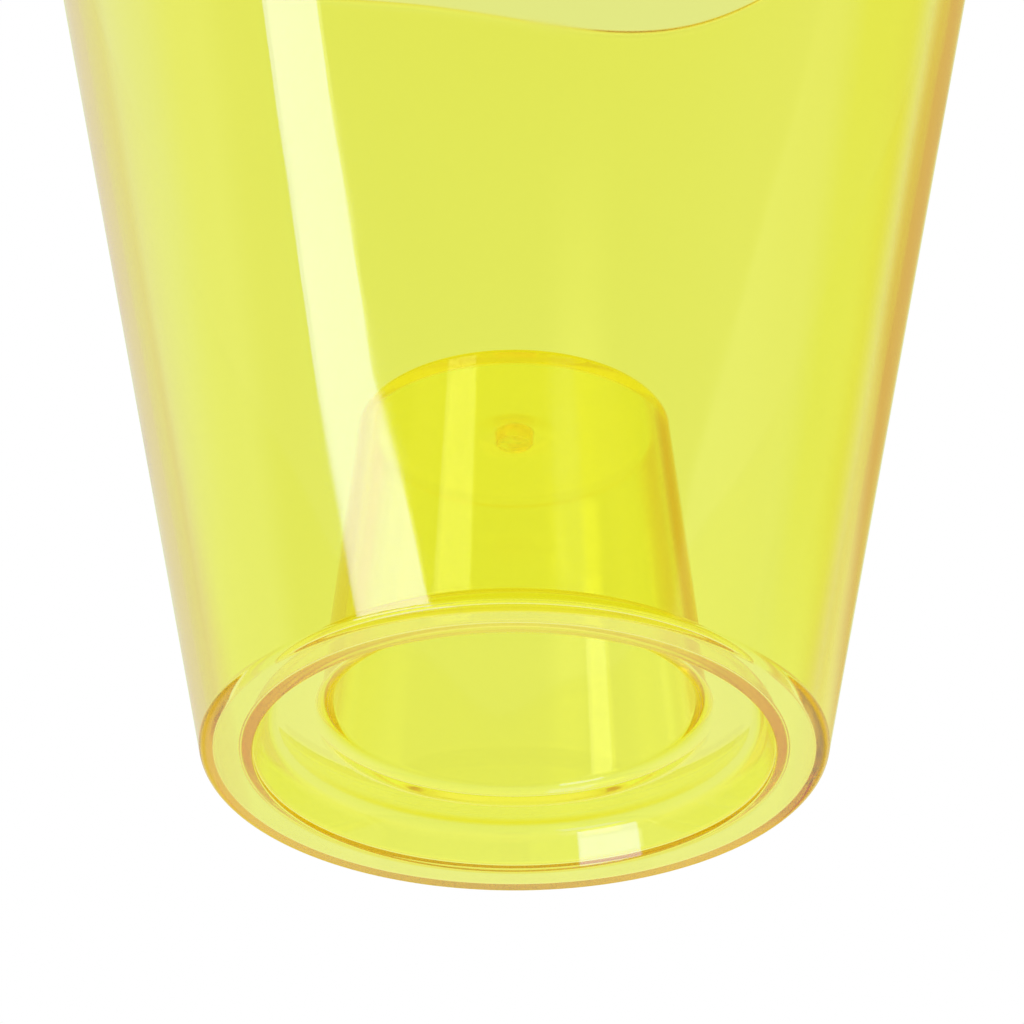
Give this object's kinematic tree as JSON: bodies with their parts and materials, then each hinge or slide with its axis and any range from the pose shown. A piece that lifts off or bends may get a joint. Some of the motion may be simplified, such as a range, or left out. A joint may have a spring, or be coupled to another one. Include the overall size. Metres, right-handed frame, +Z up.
{
  "type": "orchid pot",
  "caption": "Clear tapered plastic orchid pot with a waved lip, a flat standing ring, a recessed base and a hollow pedestal inside.",
  "frame": {"origin": "middle of the circle that the pot stands on, in the plane of its standing ring", "axes": "+Z up along the pot's axis, from the standing ring to the lip; a crest of the waved lip lies over +Y"},
  "size_m": [0.1306, 0.1305, 0.1521],
  "materials": {
    "clear_yellow_plastic": "clear, polished, lemon-yellow tinted injection-moulded plastic, deeper and more orange where it is seen edge on"
  },
  "bodies": {
    "root": {"wavy_rim": "clear_yellow_plastic", "side_wall": "clear_yellow_plastic", "foot_ring": "clear_yellow_plastic", "recess_wall": "clear_yellow_plastic", "base_plate": "clear_yellow_plastic", "pedestal_wall": "clear_yellow_plastic", "pedestal_top": "clear_yellow_plastic", "gate_mark": "clear_yellow_plastic"}
  },
  "joints": []
}
